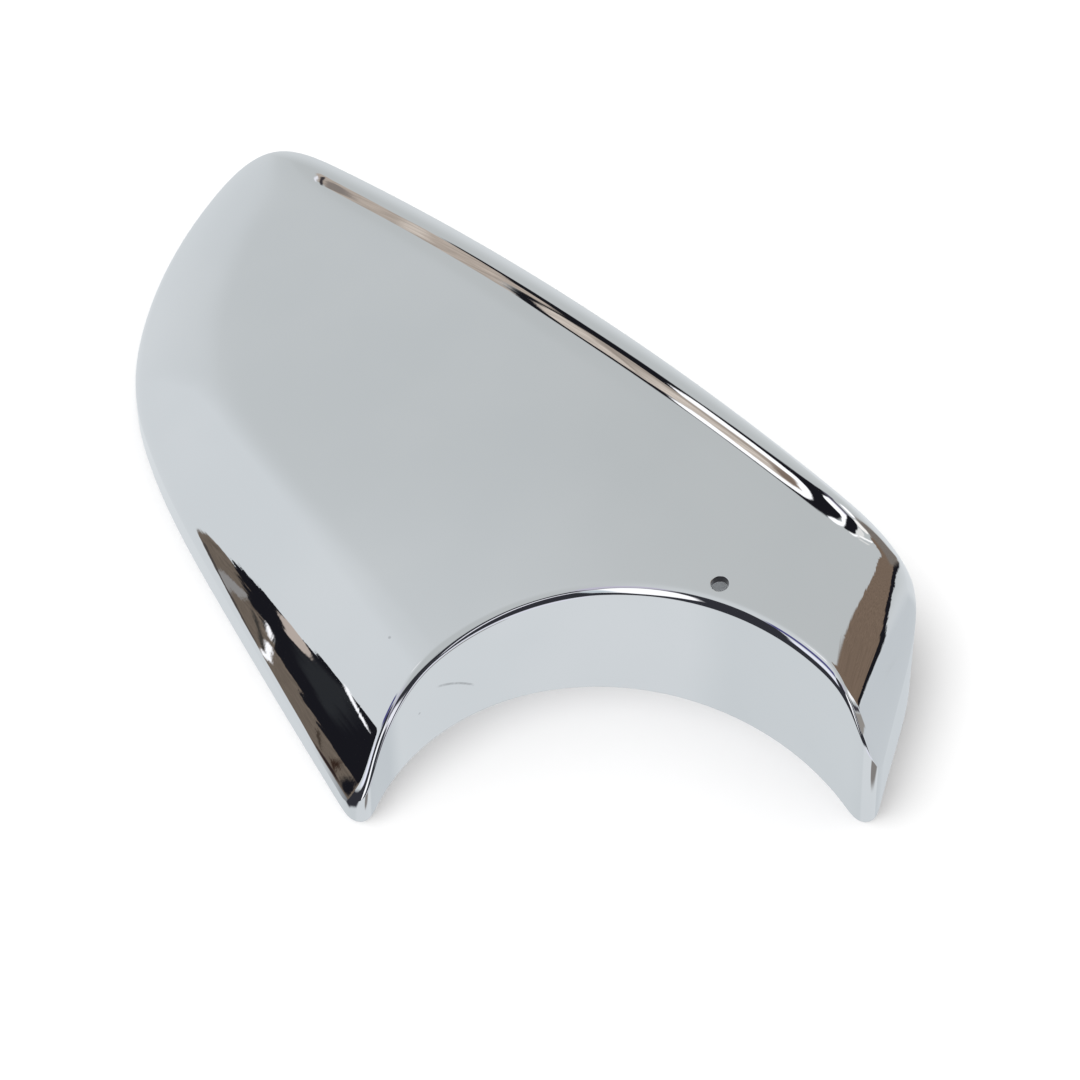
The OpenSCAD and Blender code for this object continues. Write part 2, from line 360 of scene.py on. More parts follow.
def close_in(loop, turn, radius, t, steps, over):
    """Rings from a loop in to a circle round the hole, all on the skin."""
    a, p = angles_of(loop)
    cx, cy = HOLE[0] + radius * np.cos(turn), HOLE[1] + radius * np.sin(turn)
    last = loop
    for k in range(1, steps + 1):
        u = k / steps
        q = ring((mix(p[:, 0], cx, u), mix(p[:, 1], cy, u)), t)
        s = add(q)
        ids = list(range(s, s + len(loop)))
        ring_faces(last, ids, over)
        last = ids
    return last


turn, _ = angles_of(loops[0])
outer = close_in(loops[0], turn, HOLE_R + LIP_R, 0.0, HOLE_RINGS, False)
top = np.array([verts[i] for i in outer])[:, 2]
for k in range(1, LIP_ROWS + 1):
    a = math.pi / 2 * k / LIP_ROWS
    rr = HOLE_R + LIP_R * (1 - math.sin(a))
    x, y = HOLE[0] + rr * np.cos(turn), HOLE[1] + rr * np.sin(turn)
    s = add(np.stack([x, y, top - LIP_R * (1 - math.cos(a))], -1))
    ids = list(range(s, s + len(outer)))
    ring_faces(outer, ids, False)
    outer = ids
inner = close_in(loops[1], turn, HOLE_R, WALL, HOLE_RINGS, True)
ring_faces(outer, inner, False)

# in metres, and drawn in by a hair where a point lies past the CAD part's box
V = np.array(verts) / 1000
lo, hi = np.array(cad_box[0]), np.array(cad_box[1])
for k in range(3):
    a, b = V[:, k].min(), V[:, k].max()
    keep = min(1.0, (hi[k] - lo[k]) / (b - a))
    if k < 2:
        V[:, k] = (V[:, k] - (a + b) / 2) * keep + (lo[k] + hi[k]) / 2
    else:
        V[:, k] *= keep

mesh = bpy.data.meshes.new("cover_shell")
mesh.from_pydata([tuple(p) for p in V], [], faces)
mesh.validate()
mesh.update()
mesh.polygons.foreach_set("use_smooth", [True] * len(mesh.polygons))
mesh.set_sharp_from_angle(angle=SHARP_ANGLE)
cover = bpy.data.objects.new("cover_shell", mesh)
bpy.context.scene.collection.objects.link(cover)
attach(cover, "root")
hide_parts("mirror_cover")


# ---------------------------------------------------------------- node helpers
class Graph:
    """Short ways to add nodes to a material's or world's tree."""

    def __init__(self, tree):
        self.tree = tree
        self.n = tree.nodes
        self.n.clear()

    def node(self, kind, **values):
        made = self.n.new(kind)
        for k, v in values.items():
            setattr(made, k, v)
        return made

    def link(self, a, b):
        self.tree.links.new(a, b)

    def put(self, socket, value):
        if isinstance(value, bpy.types.NodeSocket):
            self.link(value, socket)
        else:
            socket.default_value = value

    def math(self, op, a, b=None, c=None):
        m = self.node("ShaderNodeMath", operation=op)
        self.put(m.inputs[0], a)
        if b is not None:
            self.put(m.inputs[1], b)
        if c is not None:
            self.put(m.inputs[2], c)
        return m.outputs[0]

    def vmath(self, op, a, b=None):
        m = self.node("ShaderNodeVectorMath", operation=op)
        self.put(m.inputs[0], a)
        if b is not None:
            self.put(m.inputs[1], b)
        return m.outputs["Value" if op == "LENGTH" else "Vector"]

    def step(self, value, low, high, a=0.0, b=1.0, smooth=True):
        kind = "SMOOTHSTEP" if smooth else "LINEAR"
        m = self.node("ShaderNodeMapRange", interpolation_type=kind, clamp=True)
        self.put(m.inputs["Value"], value)
        for name, x in (("From Min", low), ("From Max", high), ("To Min", a), ("To Max", b)):
            self.put(m.inputs[name], x)
        return m.outputs["Result"]

    def noise(self, vector, scale, detail, rough=0.5):
        m = self.node("ShaderNodeTexNoise")
        self.put(m.inputs["Vector"], vector)
        m.inputs["Scale"].default_value = scale
        m.inputs["Detail"].default_value = detail
        m.inputs["Roughness"].default_value = rough
        return m.outputs["Fac"]

    def mixc(self, fac, a, b):
        m = self.node("ShaderNodeMix", data_type="RGBA", blend_type="MIX", clamp_factor=True)
        self.put(m.inputs["Factor"], fac)
        # sockets 6, 7 and output 2 are the ones for colours
        for socket, x in ((m.inputs[6], a), (m.inputs[7], b)):
            self.put(socket, x if isinstance(x, bpy.types.NodeSocket) else (*x, 1.0))
        return m.outputs[2]

    def curve(self, value, points):
        """A smooth curve through points whose x lies in 0..1 and y in 0..1."""
        m = self.node("ShaderNodeFloatCurve")
        c = m.mapping.curves[0]
        while len(c.points) < len(points):
            c.points.new(0.5, 0.5)
        for p, (x, y) in zip(c.points, points):
            p.location = (x, y)
            p.handle_type = "AUTO_CLAMPED"
        m.mapping.update()
        self.put(m.inputs["Value"], value)
        return m.outputs["Value"]


# ---------------------------------------------------------------- chrome plating
# A faint scuff on the wall of the cut-out: its ends in x, its middle and how its height runs
# there, and two specks, all in metres.
SCUFF_ENDS, SCUFF_MIDDLE, SCUFF_HEIGHT = (-0.0222, -0.0110), -0.0165, 0.0195
SCUFF_SLOPE, SCUFF_BEND = -0.93, -28.0
SCUFF_BEHIND = -0.0785          # the wall of the cut-out lies in front of this y
SPECKS = ((-0.02651, -0.09446, 0.01759), (-0.03472, -0.08088, 0.03503))
PLATING_DARK, PLATING_LIGHT = (0.795, 0.805, 0.815), (0.825, 0.83, 0.838)
# the bore's near-black colour is painted shade, standing in for the dark inside of the screw hole
SCUFFED, BORE_SHADE = (0.36, 0.36, 0.37), (0.055, 0.053, 0.058)
LEAST_ROUGH, MOST_ROUGH, SCUFF_ROUGH, BORE_ROUGH = 0.012, 0.02, 0.12, 0.3


def chrome():
    mat = bpy.data.materials.new("chrome_plating")
    mat.use_nodes = True
    g = Graph(mat.node_tree)
    out = g.node("ShaderNodeOutputMaterial")
    bsdf = g.node("ShaderNodeBsdfPrincipled")
    bsdf.inputs["Metallic"].default_value = 1.0
    bsdf.inputs["IOR"].default_value = 2.5
    pos = g.node("ShaderNodeTexCoord").outputs["Object"]
    cloud = g.noise(pos, 14.0, 3.0)
    fine = g.noise(pos, 900.0, 2.0)
    base = g.mixc(g.step(cloud, 0.35, 0.65), PLATING_DARK, PLATING_LIGHT)
    sep = g.node("ShaderNodeSeparateXYZ")
    g.put(sep.inputs[0], pos)
    x, y, z = sep.outputs
    from_middle = g.math("SUBTRACT", x, SCUFF_MIDDLE)
    slope = g.math("MULTIPLY_ADD", from_middle, SCUFF_BEND, SCUFF_SLOPE)
    line = g.math("MULTIPLY_ADD", slope, from_middle, SCUFF_HEIGHT)
    off = g.math("ABSOLUTE", g.math("SUBTRACT", z, line))
    low, high = SCUFF_ENDS
    reach = g.math("MULTIPLY", g.step(x, low, low + 0.0025), g.step(x, high, high - 0.0015))
    reach = g.math("MULTIPLY", reach, g.step(y, SCUFF_BEHIND, SCUFF_BEHIND - 0.001))
    broken = g.step(g.noise(pos, 700.0, 1.0), 0.25, 0.6, 0.45, 1.0)
    on_line = g.step(off, 0.0002, 0.0008, 1.0, 0.0)
    scuff = g.math("MULTIPLY", g.math("MULTIPLY", on_line, reach), broken)
    for speck in SPECKS:
        away = g.vmath("LENGTH", g.vmath("SUBTRACT", pos, speck))
        scuff = g.math("MAXIMUM", scuff, g.step(away, 0.00025, 0.0006, 0.8, 0.0))
    base = g.mixc(g.math("MULTIPLY", scuff, 0.6), base, SCUFFED)
    # the bore of the screw hole is dull, and its dark colour is painted shade inside the hole
    dx = g.math("SUBTRACT", x, HOLE[0] / 1000)
    dy = g.math("SUBTRACT", y, HOLE[1] / 1000)
    from_axis = g.math("SQRT", g.math("MULTIPLY_ADD", dx, dx, g.math("MULTIPLY", dy, dy)))
    bore_r = HOLE_R / 1000
    bore_shade_and_dull = g.step(from_axis, bore_r + 0.00002, bore_r + 0.0001, 1.0, 0.0)
    g.put(bsdf.inputs["Base Color"], g.mixc(bore_shade_and_dull, base, BORE_SHADE))
    rough = g.step(cloud, 0.3, 0.7, LEAST_ROUGH, MOST_ROUGH)
    rough = g.math("MAXIMUM", rough, g.math("MULTIPLY", scuff, SCUFF_ROUGH))
    rough = g.math("MAXIMUM", rough, g.math("MULTIPLY", bore_shade_and_dull, BORE_ROUGH))
    g.put(bsdf.inputs["Roughness"], rough)
    bump = g.node("ShaderNodeBump")
    bump.inputs["Strength"].default_value = 0.02
    bump.inputs["Distance"].default_value = 0.00005
    g.put(bump.inputs["Height"], fine)
    g.link(bump.outputs["Normal"], bsdf.inputs["Normal"])
    g.link(bsdf.outputs[0], out.inputs[0])
    return mat


cover.data.materials.append(chrome())

# ---------------------------------------------------------------- camera
TILT = math.radians(37)
TARGET, DISTANCE = Vector((0.00715, -0.03559, 0.020)), 1.5
cam = bpy.data.objects.new("camera", bpy.data.cameras.new("camera"))
bpy.context.scene.collection.objects.link(cam)
cam.data.sensor_width = 36
cam.data.lens = 175
cam.location = TARGET + DISTANCE * Vector((0, -math.sin(TILT), math.cos(TILT)))
cam.rotation_euler = (TILT, 0, 0)
cam.data.clip_start, cam.data.clip_end = 0.05, 50
bpy.context.scene.camera = cam

# ---------------------------------------------------------------- floor and light
FLOOR_SIZE, FLOOR_Z, FLOOR_COLOUR = 14, -0.0001, (0.93, 0.93, 0.93, 1)
LAMP_PLACE, LAMP_SIZE, LAMP_POWER = (-0.5, -0.3, 2.2), 1.6, 26
bpy.ops.mesh.primitive_plane_add(size=FLOOR_SIZE, location=(0, 0, FLOOR_Z))
floor = bpy.context.object
floor.name = "floor"
mat = bpy.data.materials.new("floor_paper")
mat.use_nodes = True
g = Graph(mat.node_tree)
out = g.node("ShaderNodeOutputMaterial")
bsdf = g.node("ShaderNodeBsdfPrincipled")
bsdf.inputs["Base Color"].default_value = FLOOR_COLOUR
bsdf.inputs["Roughness"].default_value = 0.9
bsdf.inputs["Specular IOR Level"].default_value = 0.1
g.link(bsdf.outputs[0], out.inputs[0])
floor.data.materials.append(mat)
floor.visible_glossy = False

key = bpy.data.objects.new("key", bpy.data.lights.new("key", "AREA"))
bpy.context.scene.collection.objects.link(key)
key.data.shape = "DISK"
key.data.size = LAMP_SIZE
key.data.energy = LAMP_POWER
key.location = LAMP_PLACE
key.rotation_euler = (Vector((0, 0, 0)) - key.location).to_track_quat("-Z", "Y").to_euler()
key.visible_glossy = False

# ---------------------------------------------------------------- room that the chrome mirrors
# A room seen in a mirror is easiest to lay out by the slope that a surface needs to show each
# part of it to a viewer who looks down from the front: turn is where the surface faces (0 is +X,
# 90 is +Y) and lean is how far it leans from level, both in degrees.
world = bpy.data.worlds.new("studio")
bpy.context.scene.world = world
world.use_nodes = True
g = Graph(world.node_tree)
out = g.node("ShaderNodeOutputWorld")
direction = g.node("ShaderNodeTexCoord").outputs["Generated"]
eye = (0.0, -math.sin(TILT), math.cos(TILT))
half = g.vmath("NORMALIZE", g.vmath("ADD", direction, eye))
sep = g.node("ShaderNodeSeparateXYZ")
g.put(sep.inputs[0], half)
DEG = 180 / math.pi
turn_deg = g.math("MULTIPLY", g.math("ARCTAN2", sep.outputs[1], sep.outputs[0]), DEG)
lean = g.math("MULTIPLY", g.math("ARCCOSINE", sep.outputs[2]), DEG)
CEILING, PAPER = (0.558, 0.584, 0.590), (0.748, 0.784, 0.810)
BROWN, TAN, BEIGE = (0.205, 0.148, 0.11), (0.5, 0.43, 0.375), (0.66, 0.585, 0.52)
BLACK, WHITE = (0.011, 0.011, 0.015), (1.25, 1.25, 1.28)

# lean laid off along turn, in degrees, as on a round chart with level surfaces in the middle
flat = g.node("ShaderNodeCombineXYZ")
chart_u = g.math("MULTIPLY", lean, g.math("COSINE", g.math("MULTIPLY", turn_deg, 1 / DEG)))
chart_v = g.math("MULTIPLY", lean, g.math("SINE", g.math("MULTIPLY", turn_deg, 1 / DEG)))
g.put(flat.inputs[0], chart_u)
g.put(flat.inputs[1], chart_v)
uneven = g.math("SUBTRACT", g.noise(flat.outputs[0], 0.95, 3.0, 0.6), 0.5)
ragged = g.math("MULTIPLY", uneven, 2.2)

# Every patch of the room: name, frame, colour, softness, raggedness, and its two long edges as
# (s, t) in degrees. The frame is the chart turned by that angle, or None for s = turn, t = lean.
PATCHES = (
    # the paper's shade on the wall of the cut-out and on the right flange
    ("wall_shade", None, (0.69, 0.73, 0.755), 6, 0,
     ((-152, 99), (-112, 99)),
     ((-152, 82), (-112, 82))),
    ("flange", None, (0.633, 0.672, 0.703), 3, 0,
     ((-36, 99), (-4, 99)),
     ((-36, 57), (-4, 57))),
    # the bead round the cut-out
    ("bead_far", None, (0.035, 0.036, 0.045), 1.2, 1,
     ((-150, 86), (-140, 86), (-130, 85), (-120, 84), (-110, 83), (-100, 81), (-94, 77),
      (-88, 72.5), (-80, 72), (-70, 71.5), (-62, 70), (-55, 69.5), (-47, 71), (-40, 74.5)),
     ((-150, 59), (-141, 58.5), (-134, 57.5), (-130, 45), (-126, 36), (-120, 34), (-110, 34),
      (-100, 34.5), (-90, 35), (-80, 36.5), (-70, 39.5), (-62, 43.5), (-55, 49), (-47, 57),
      (-40, 66.5))),
    ("bead_rim", None, (0.85, 0.85, 0.97), 1, 0.6,
     ((-90, 77), (-85, 80.5), (-80, 81), (-70, 80), (-62, 78), (-55, 77.5), (-47, 78),
      (-40, 80.5)),
     ((-90, 74.5), (-80, 74), (-70, 73.5), (-62, 72), (-55, 71.5), (-47, 72.5), (-40, 76))),
    ("bead_foot", None, (0.26, 0.245, 0.235), 1, 0.3,
     ((-70, 86), (-62, 87), (-55, 87), (-47, 86.5), (-40, 85.5), (-34, 85)),
     ((-70, 84), (-62, 81.5), (-55, 80.5), (-47, 80.5), (-40, 82.5), (-34, 84))),
    ("bead_line", None, (1.0, 1.0, 1.08), 1, 0.8,
     ((-97, 43.5), (-90, 43.5), (-85, 44.3), (-75, 48.3), (-65, 54.8), (-57, 61.5)),
     ((-97, 41.5), (-90, 40.5), (-85, 41), (-75, 44.6), (-65, 51), (-57, 59))),
    ("bead_card", None, WHITE, 1.2, 0.8,
     ((-113.5, 58), (-110, 64), (-106, 68), (-102, 70), (-98, 65), (-94, 58)),
     ((-113.5, 46), (-110, 41), (-104, 38.5), (-98, 41), (-94, 45))),
    ("bead_card_edge", None, (0.6, 0.68, 0.73), 1, 0.5,
     ((-97.5, 63), (-96, 60), (-93.5, 57)),
     ((-97.5, 43), (-96, 43), (-93.5, 45))),
    ("bead_glow", None, (0.6, 0.58, 0.7), 2, 0.5,
     ((-112, 38), (-104, 37), (-97, 40)),
     ((-112, 30), (-104, 28), (-97, 32))),
    ("bead_violet", None, (0.085, 0.08, 0.25), 1.3, 0.8,
     ((-141, 41), (-137, 41), (-131, 40.5), (-127, 38)),
     ((-141, 32), (-137, 32), (-131, 31.5), (-127, 31))),
    ("bead_white_2", None, (0.95, 0.97, 1.1), 1.3, 0.5,
     ((-141, 56.5), (-137, 56.5), (-131, 55)),
     ((-141, 45), (-137, 45), (-131, 45.5))),
    ("bead_glow_2", None, (1.0, 1.0, 1.02), 1.5, 0.5,
     ((-141, 22.5), (-137, 22.5), (-133, 22)),
     ((-141, 17), (-137, 17), (-133, 17.5))),
    # the horn right of the cut-out
    ("horn_brown", None, (0.27, 0.235, 0.21), 1.5, 1.5,
     ((-62, 25), (-50, 27), (-40, 29), (-30, 33), (-20, 40), (-15, 46)),
     ((-62, 15), (-50, 13), (-40, 12), (-30, 11.5), (-24, 14), (-19, 19), (-15, 30))),
    ("horn_white", None, (1.1, 1.1, 1.12), 1.5, 1,
     ((-64, 33.5), (-55, 36), (-45, 39), (-35, 42), (-27, 46), (-20, 51)),
     ((-64, 29), (-55, 29.5), (-45, 31.5), (-35, 34.5), (-27, 39), (-20, 46))),
    ("horn_dark", None, (0.06, 0.055, 0.07), 1.2, 1,
     ((-64, 39), (-55, 43), (-45, 46), (-35, 49), (-27, 53), (-20, 58)),
     ((-64, 34.5), (-55, 37.5), (-45, 41.5), (-35, 45), (-27, 49.5), (-20, 54))),
    ("horn_grey", None, (0.33, 0.31, 0.29), 1.2, 2,
     ((-56, 58), (-45, 61), (-35, 63), (-25, 64), (-19, 66)),
     ((-56, 44), (-45, 47), (-35, 50), (-27, 54), (-19, 59))),
    # a brown wall on the right, with its dark edge
    ("wall", 90, BROWN, 0.3, 2,
     ((-5, -25), (-4.3, -28), (-3.8, -30), (-2, -33), (-0.7, -35), (0.5, -36.5), (2, -37.5),
      (3.5, -38.5), (5, -39.5), (6.5, -40.5), (8.5, -42), (10, -43.4), (12, -42.8), (14, -41.6),
      (16, -40.5), (18, -41.5), (20, -42.8), (22, -42.5), (24, -42)),
     ((-5, -49), (-3, -49.2), (-1, -50.4), (1, -50.2), (4, -50.3), (6.5, -51), (9, -52.3),
      (12, -53.2), (14, -54.2), (17, -54.4), (18.5, -52.5), (20, -50), (22, -47.5), (24, -44.5))),
    ("wall_low", 0, BROWN, 0.35, 0.6,
     ((2, -5.6), (6, -6), (10, -6), (15, -5.7), (20, -5.3), (25, -4.8), (28, -4.2), (30, -3.2),
      (48, -3.2), (49.3, -7), (50.2, -9.5), (51.5, -12), (53, -14.6), (54.2, -15.8)),
     ((2, -6.2), (4, -9.5), (7, -14), (12, -19), (20, -22), (30, -21.5), (38, -20), (46, -18.5),
      (52, -17.2), (54.2, -16.6))),
    ("wall_edge", 90, BLACK, 0.3, 1.2,
     ((-10.4, -49.3), (-8.7, -48.9), (-5.8, -48.5), (-1.7, -48.5), (1, -48.8), (3.6, -49.2),
      (7, -49.9), (10.8, -50.8), (13, -51.9), (15, -53.4)),
     ((-10.4, -51.4), (-8.7, -51.1), (-5.8, -50.6), (-1.7, -50.9), (1, -51), (3.6, -51.3),
      (7, -52.3), (10.8, -53.6), (13, -54.3), (15, -54.7))),
    ("wall_edge_low", -60, BLACK, 0.25, 1,
     ((31.4, 40.2), (32.5, 39.9), (35, 39.4), (37.3, 39.2), (39.2, 39.4), (40.4, 39.6),
      (41.6, 39.9), (42.4, 39.7)),
     ((31.4, 38.5), (32.5, 38.1), (35, 37.6), (37.3, 37.6), (39.2, 37.9), (40.4, 38),
      (41.6, 38.5), (42.4, 39.2))),
    ("wall_fade", 90, (0.21, 0.185, 0.165), 1.5, 0.6,
     ((8, -48), (12, -46.5), (16, -44), (20, -40), (24, -38)),
     ((8, -50), (12, -52.5), (16, -54.5), (20, -52), (24, -47))),
    # a long window on the upper side: its frame, panes and bright glass
    ("frame", 25, BLACK, 0.4, 0.35,
     ((5, 10.4), (5.8, 11.6), (7.5, 12.6), (10, 13.6), (12, 14.3), (14, 15), (15.5, 16),
      (16.3, 17.8), (17, 19), (18, 18.8), (19, 17.6), (20, 16.4), (21, 15.5), (22.5, 14.6),
      (24, 13.8), (26, 13), (28, 12.5), (30, 12), (32, 11.5), (34, 11.2), (36, 10.8), (38, 10.3),
      (40, 9.8), (41.5, 9)),
     ((5, 10), (5.6, 8.8), (7, 7.6), (8.5, 6.6), (10, 5.5), (12, 4.2), (14, 3.2), (16, 2.6),
      (18, 2.3), (19.5, 2.1), (22, 2.3), (25, 2.1), (28, 2.4), (31, 3.1), (33, 4.5), (36, 7),
      (38, 8), (40, 8.3), (41.5, 8.5))),
    ("tip_pane", 50, TAN, 0.35, 0.5,
     ((11.5, 15.8), (13, 16), (16, 16.4), (19, 16.6), (21, 16.2)),
     ((11.5, 15.3), (13, 12), (15, 9.5), (17, 7.6), (19, 6.5), (21, 6.2))),
    ("pane_1", 25, TAN, 0.35, 0.4,
     ((3.4, 18), (5, 18.8), (7, 19.9), (9, 20.8), (10.5, 21.2), (12, 20.3), (14, 19.6),
      (15.5, 19.2), (16.4, 18.4), (16.8, 17)),
     ((3.4, 17.6), (4.5, 15.2), (5.2, 13), (5.9, 11.9), (7.5, 12.7), (10, 13.7), (12, 14.4),
      (14, 15.1), (15.4, 15.9), (16.8, 16.6))),
    ("pane_1_light", 25, BEIGE, 0.3, 0.3,
     ((5, 15.4), (7, 16.1), (9, 17.1), (11, 17.9), (13, 18.8), (14.6, 19.2)),
     ((5, 14.8), (7, 15.1), (9, 16.1), (11, 17), (13, 17.8), (14.6, 18.6))),
    ("pane_1_dark", 25, (0.27, 0.235, 0.215), 0.4, 0.3,
     ((3.4, 18), (5, 18.7), (7, 19.8), (9, 20.7), (11, 20.9)),
     ((3.4, 17.6), (5, 17.3), (7, 17.9), (9, 18.9), (11, 20.2))),
    ("tip_dark", 25, (0.05, 0.045, 0.05), 0.15, 0,
     ((2.6, 18.07), (4, 19.05), (6, 20.15), (8, 21.15), (10, 22.05), (11.5, 22.38)),
     ((2.6, 17.93), (4, 18.55), (6, 19.65), (8, 20.65), (10, 21.55), (11.5, 22.23))),
    ("tip_white", 25, (0.95, 0.95, 1.02), 0.2, 0,
     ((2.8, 19.07), (4.5, 20.35), (6.5, 21.25), (8.5, 22.07)),
     ((2.8, 18.93), (4.5, 19.85), (6.5, 20.75), (8.5, 21.93))),
    ("glass_1", 25, WHITE, 0.22, 0.2,
     ((8.6, 7.6), (10, 8.1), (12, 8.3), (15, 8.9), (18.5, 10.2), (19.5, 11.1), (22, 12.1),
      (24, 12.2), (26, 11.5), (28, 10.5), (29.1, 9.7)),
     ((8.6, 7.1), (9.5, 6.5), (11, 5.7), (13, 4.9), (16, 4.4), (19, 4.7), (22, 5.6), (25, 6.8),
      (27, 7.8), (28.5, 9), (29.1, 9.4))),
    ("pane_2", 25, BEIGE, 0.25, 0.25,
     ((6.6, 10.4), (7.4, 11.3), (9, 12.2), (11, 12.9), (13, 13.2), (15, 13), (17, 12.2),
      (19, 10.9), (20, 10.1), (22, 9.6), (23.5, 9), (24.5, 8.4)),
     ((6.6, 10), (7.5, 9.2), (9, 8.5), (11, 8.2), (12.5, 8.1), (13.5, 7.2), (15, 6.4), (17, 5.9),
      (18.5, 5.9), (20, 6.4), (21.5, 7), (23, 7.6), (24.5, 8.1))),
    ("pane_2_dark", 25, (0.4, 0.345, 0.3), 0.8, 0.5,
     ((11, 10.2), (13, 11.8), (15, 12.8), (17, 12.1), (19, 10.8), (21, 9.9), (23.5, 8.9)),
     ((11, 9.6), (13, 10.3), (15, 10.7), (17, 10.2), (19, 9), (21, 8), (23.5, 8.2))),
    ("pane_2_line", 25, (0.36, 0.31, 0.27), 0.25, 0,
     ((9.5, 8.95), (12, 10.58), (14.5, 12.05)),
     ((9.5, 8.85), (12, 10.22), (14.5, 11.95))),
    ("pane_2_foot", 25, (0.24, 0.18, 0.145), 0.4, 0.6,
     ((16.5, 6.5), (19, 7.6), (21, 8.2), (23, 8.7), (24.4, 8.3)),
     ((16.5, 6.1), (18.5, 6), (20, 6.5), (21.5, 7), (23, 7.7), (24.4, 8.1))),
    ("glass_line", 25, WHITE, 0.2, 0.2,
     ((19, 2.35), (21, 2.3), (23.5, 2.2), (25, 1.9), (27, 1.8), (29, 2.4), (31, 3), (33, 4.3),
      (35, 4.5), (37, 4.3)),
     ((19, 1.9), (21, 1.1), (23, 0.75), (25, 0.6), (27, 0.8), (29, 1.3), (31, 2), (33, 2.6),
      (35, 3.2), (37, 4))),
    ("glass_2", 115, WHITE, 0.25, 0.2,
     ((3.2, -32.6), (4.2, -32.1), (5.5, -31.9), (6.6, -32.1), (7.4, -32.7), (8.3, -34.8)),
     ((3.2, -36), (4.5, -36.7), (6, -36.8), (7.4, -37.2), (8.3, -37.4))),
    ("bar_1", 115, (0.78, 0.76, 0.86), 0.3, 0,
     ((3.8, -36.8), (6, -36.8), (8.4, -37.2)),
     ((3.8, -37.8), (6, -38.1), (8.4, -38.4))),
    ("bar_2", 115, (0.1, 0.095, 0.135), 0.35, 0.2,
     ((3, -37.6), (4.5, -38), (6, -38.1), (8.4, -38.2), (9.6, -38.6)),
     ((3, -40), (4.5, -40.2), (6, -40.1), (8.4, -40.6), (9.6, -41))),
    ("glass_3", 115, WHITE, 0.45, 0.3,
     ((4.4, -42.5), (5.4, -42.1), (6.5, -42.1), (7.8, -42.6)),
     ((4.4, -44.6), (5.4, -45.3), (6.5, -45.3), (7.8, -44.6))),
    ("post", 25, BLACK, 0.28, 0.35,
     ((25.2, 0.45), (27, 0.75), (29, 1.25), (31, 1.95), (33, 2.55), (35, 3.2), (37, 4),
      (39, 4.4), (40.6, 4)),
     ((25.2, 0.2), (27, -0.4), (29, -0.9), (31, -1.2), (32, -1.2), (34, -0.3), (36, 0),
      (38, 0.8), (39.5, 1.6), (40.6, 3.2))),
    ("sill", 25, (0.86, 0.86, 0.85), 0.3, 0.3,
     ((27, -0.5), (29, -1), (31, -1.3), (32, -1.3), (34, -0.4), (36, -0.1), (38, 0.6), (40, 0.8)),
     ((27, -0.9), (29, -1.9), (31, -2.2), (34, -2.5), (36, -2.4), (38, -2), (40, -0.9))),
    ("sill_line", 25, WHITE, 0.2, 0,
     ((27.2, -0.73), (29, -1.2), (31, -1.5), (33, -1.62)),
     ((27.2, -0.88), (29, -1.7), (31, -2), (33, -1.77))),
    ("glass_4", 115, (1.1, 1.07, 1.04), 0.4, 0.4,
     ((-0.8, -42.8), (0, -41.8), (1.5, -40.4), (2.8, -40.8), (3.8, -41.8)),
     ((-0.8, -43.8), (0, -45), (1.5, -44.4), (2.8, -43.9), (3.8, -43.3))),
    ("streak_1", 25, (1.15, 1.15, 1.15), 0.2, 0.2,
     ((34, -1.76), (36, -1.95), (38, -2.45), (40, -2.95), (41.5, -3.25), (43, -3.57)),
     ((34, -2.04), (36, -2.85), (38, -3.35), (40, -3.85), (41.5, -4.15), (43, -3.83))),
    ("streak_2", 25, (0.82, 0.82, 0.81), 0.25, 0.2,
     ((31.5, -2.69), (33.5, -2.95), (35.5, -3.75), (37, -4.25), (38.5, -4.79)),
     ((31.5, -2.9), (33.5, -3.65), (35.5, -4.45), (37, -4.95), (38.5, -5.01))),
    # a dark doorway on the left
    ("door", 30, (0.17, 0.138, 0.112), 0.12, 0.5,
     ((-74.6, 0.9), (-73, 1.7), (-72, 2.6), (-71, 3.4), (-69, 4.2), (-66, 4.8), (-63, 5.45),
      (-61, 6), (-59.5, 6.15), (-57, 5.9), (-54, 5.55), (-52, 5.35), (-51, 5.1), (-50.3, 4.5)),
     ((-74.6, 0.6), (-73.5, 0), (-71, -1.6), (-60, -2.6), (-50.3, -2.6))),
    ("door_dark", 30, (0.075, 0.067, 0.062), 0.14, 0.3,
     ((-70.5, 3.6), (-68, 4.25), (-66, 4.7), (-63, 5.25), (-61, 5.6), (-59, 5.5), (-58, 5.2)),
     ((-70.5, 3.4), (-68, 3.7), (-66, 4), (-63, 4.5), (-61, 4.8), (-59, 5.1), (-58, 5.1))),
    ("door_streak", 30, (0.31, 0.3, 0.295), 0.1, 0.2,
     ((-65, 4.45), (-63, 4.7), (-60, 4.5), (-57, 4.2), (-54, 3.9), (-52.3, 3.4)),
     ((-65, 4.3), (-63, 4.15), (-60, 3.95), (-57, 3.6), (-54, 3.3), (-52.3, 3.2))),
    ("door_shade", 30, (0.055, 0.05, 0.045), 0.1, 0,
     ((-67, 2.99), (-64, 2.97), (-60, 2.84), (-57, 2.74), (-55, 2.82), (-53.5, 3.04)),
     ((-67, 2.91), (-64, 2.73), (-60, 2.6), (-57, 2.5), (-55, 2.58), (-53.5, 2.96))),
    ("door_white", 30, WHITE, 0.08, 0,
     ((-71, 3.29), (-69, 3.18), (-67, 2.98), (-65, 2.75), (-62, 2.63), (-60, 2.55), (-58, 2.46),
      (-56, 2.35), (-55, 2.24)),
     ((-71, 3.21), (-69, 2.92), (-67, 2.72), (-65, 2.49), (-62, 2.37), (-60, 2.29), (-58, 2.2),
      (-56, 2.09), (-55, 2.16))),
    ("door_corner", 30, (0.03, 0.02, 0.02), 0.25, 0.3,
     ((-73.2, 0.95), (-72, 0.85), (-70.5, 0.55), (-69, 0.2)),
     ((-73.2, 0.4), (-72, 0), (-70, -0.3), (-69, 0))),
    ("door_foot", 30, BLACK, 0.12, 0,
